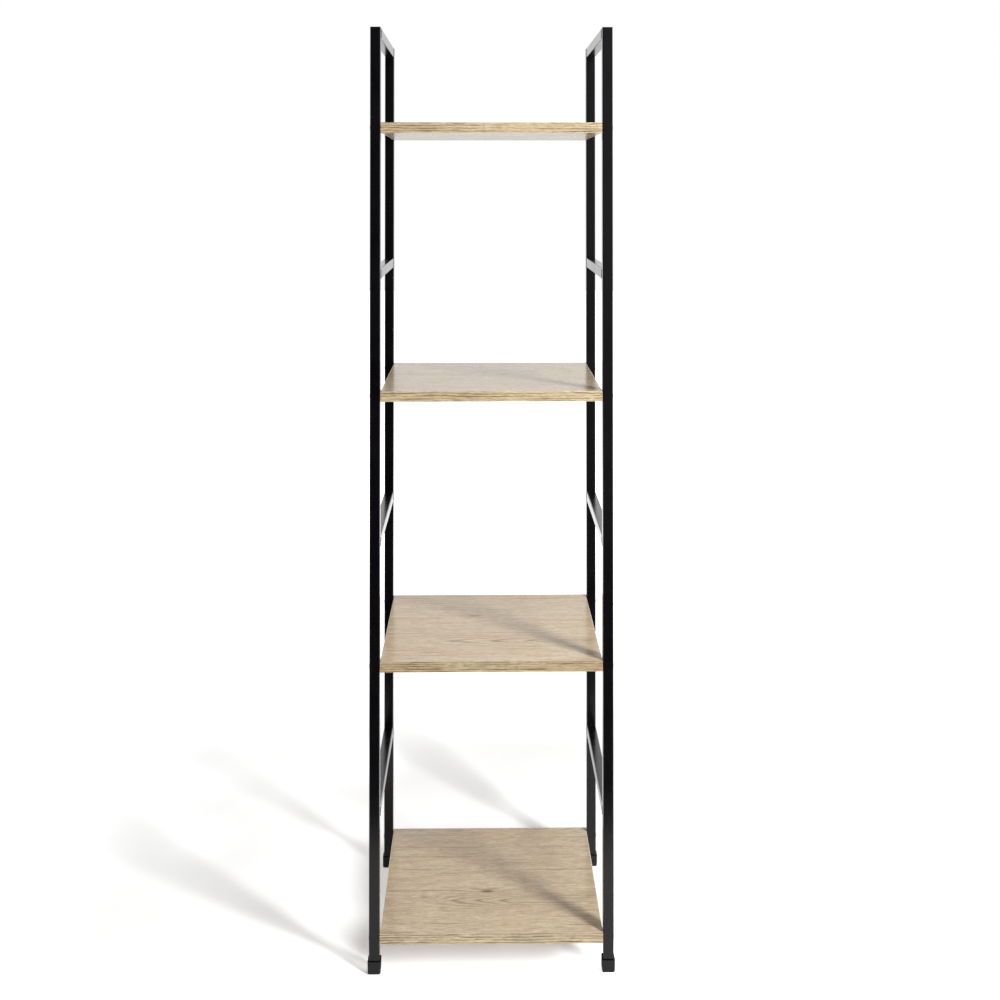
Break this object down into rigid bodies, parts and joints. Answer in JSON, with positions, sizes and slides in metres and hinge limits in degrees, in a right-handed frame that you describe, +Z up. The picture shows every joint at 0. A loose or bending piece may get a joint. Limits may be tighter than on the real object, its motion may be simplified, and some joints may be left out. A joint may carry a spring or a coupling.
{
  "type": "shelving unit",
  "caption": "Tall narrow open shelving unit: black square-tube steel side frames with cross rails carry pale oak boards, screwed on through the posts, on slip-on foot caps.",
  "frame": {"origin": "on the floor, under the middle of the unit", "axes": "+Z up along the posts; the front faces -Y; +X to the right as seen from the front"},
  "size_m": [0.354, 0.309, 1.3539],
  "materials": {
    "powder_coat": "fine black powder coat, satin",
    "oak_face": "pale oak decor on chipboard, satin, grain along the width",
    "oak_band": "oak-printed edge band, satin, grain along its length",
    "foot_plastic": "black moulded plastic, matt",
    "screw_steel": "blackened steel, satin"
  },
  "bodies": {
    "root": {"left_front_post": "powder_coat", "left_rear_post": "powder_coat", "left_bottom_rail": "powder_coat", "left_lower_rail": "powder_coat", "left_upper_rail": "powder_coat", "left_top_rail": "powder_coat", "left_front_foot_cap": "foot_plastic", "left_rear_foot_cap": "foot_plastic", "right_front_post": "powder_coat", "right_rear_post": "powder_coat", "right_bottom_rail": "powder_coat", "right_lower_rail": "powder_coat", "right_upper_rail": "powder_coat", "right_top_rail": "powder_coat", "right_front_foot_cap": "foot_plastic", "right_rear_foot_cap": "foot_plastic", "bottom_shelf_board": "oak_face", "bottom_shelf_front_band": "oak_band", "bottom_shelf_rear_band": "oak_band", "bottom_shelf_left_band": "oak_band", "bottom_shelf_right_band": "oak_band", "bottom_shelf_left_front_screw": "screw_steel", "bottom_shelf_left_rear_screw": "screw_steel", "bottom_shelf_right_front_screw": "screw_steel", "bottom_shelf_right_rear_screw": "screw_steel", "lower_shelf_board": "oak_face", "lower_shelf_front_band": "oak_band", "lower_shelf_rear_band": "oak_band", "lower_shelf_left_band": "oak_band", "lower_shelf_right_band": "oak_band", "lower_shelf_left_front_screw": "screw_steel", "lower_shelf_left_rear_screw": "screw_steel", "lower_shelf_right_front_screw": "screw_steel", "lower_shelf_right_rear_screw": "screw_steel", "upper_shelf_board": "oak_face", "upper_shelf_front_band": "oak_band", "upper_shelf_rear_band": "oak_band", "upper_shelf_left_band": "oak_band", "upper_shelf_right_band": "oak_band", "upper_shelf_left_front_screw": "screw_steel", "upper_shelf_left_rear_screw": "screw_steel", "upper_shelf_right_front_screw": "screw_steel", "upper_shelf_right_rear_screw": "screw_steel", "top_shelf_board": "oak_face", "top_shelf_front_band": "oak_band", "top_shelf_rear_band": "oak_band", "top_shelf_left_band": "oak_band", "top_shelf_right_band": "oak_band", "top_shelf_left_front_screw": "screw_steel", "top_shelf_left_rear_screw": "screw_steel", "top_shelf_right_front_screw": "screw_steel", "top_shelf_right_rear_screw": "screw_steel"}
  },
  "joints": []
}
